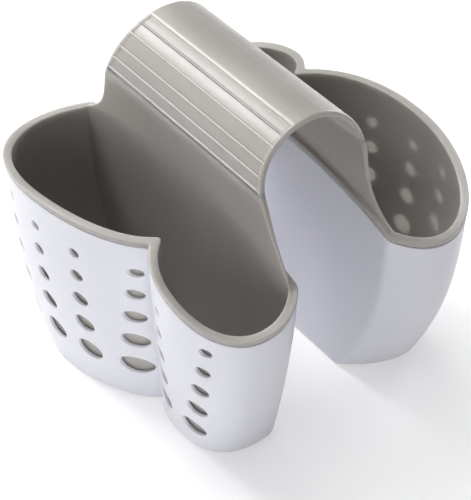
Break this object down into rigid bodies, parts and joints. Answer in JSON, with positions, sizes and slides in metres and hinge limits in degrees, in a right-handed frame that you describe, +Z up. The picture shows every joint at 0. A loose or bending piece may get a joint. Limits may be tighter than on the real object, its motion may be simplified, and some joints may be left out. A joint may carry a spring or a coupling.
{
  "type": "sink caddy",
  "caption": "Double sink caddy: two perforated two-lobed pockets hang from a soft ribbed saddle that sits over a sink divider.",
  "frame": {"origin": "centre of the footprint, on the plane that both pockets stand on", "axes": "+Z up, Y along the saddle and the two divider walls, X across the saddle from the left pocket to the right one"},
  "size_m": [0.1518, 0.1594, 0.1487],
  "materials": {
    "white_shell": "satin white moulded polypropylene",
    "grey_moulding": "soft warm grey moulded elastomer"
  },
  "bodies": {
    "saddle": {"saddle_crown": "grey_moulding"},
    "left_pocket": {"left_liner": "grey_moulding", "left_shell": "white_shell"},
    "right_pocket": {"right_liner": "grey_moulding", "right_shell": "white_shell"}
  },
  "joints": [
    {"name": "left_flex", "type": "hinge", "parent": "saddle", "child": "left_pocket", "pos_m": [-0.0243, 0, 0.124], "axis": [0, 1, 0], "range_deg": [-6, 15], "stiffness_Nm_per_rad": 0.3, "springref_deg": 4.13},
    {"name": "right_flex", "type": "hinge", "parent": "saddle", "child": "right_pocket", "pos_m": [0.0243, 0, 0.124], "axis": [0, -1, 0], "range_deg": [-6, 15], "stiffness_Nm_per_rad": 0.3, "springref_deg": 4.13}
  ]
}
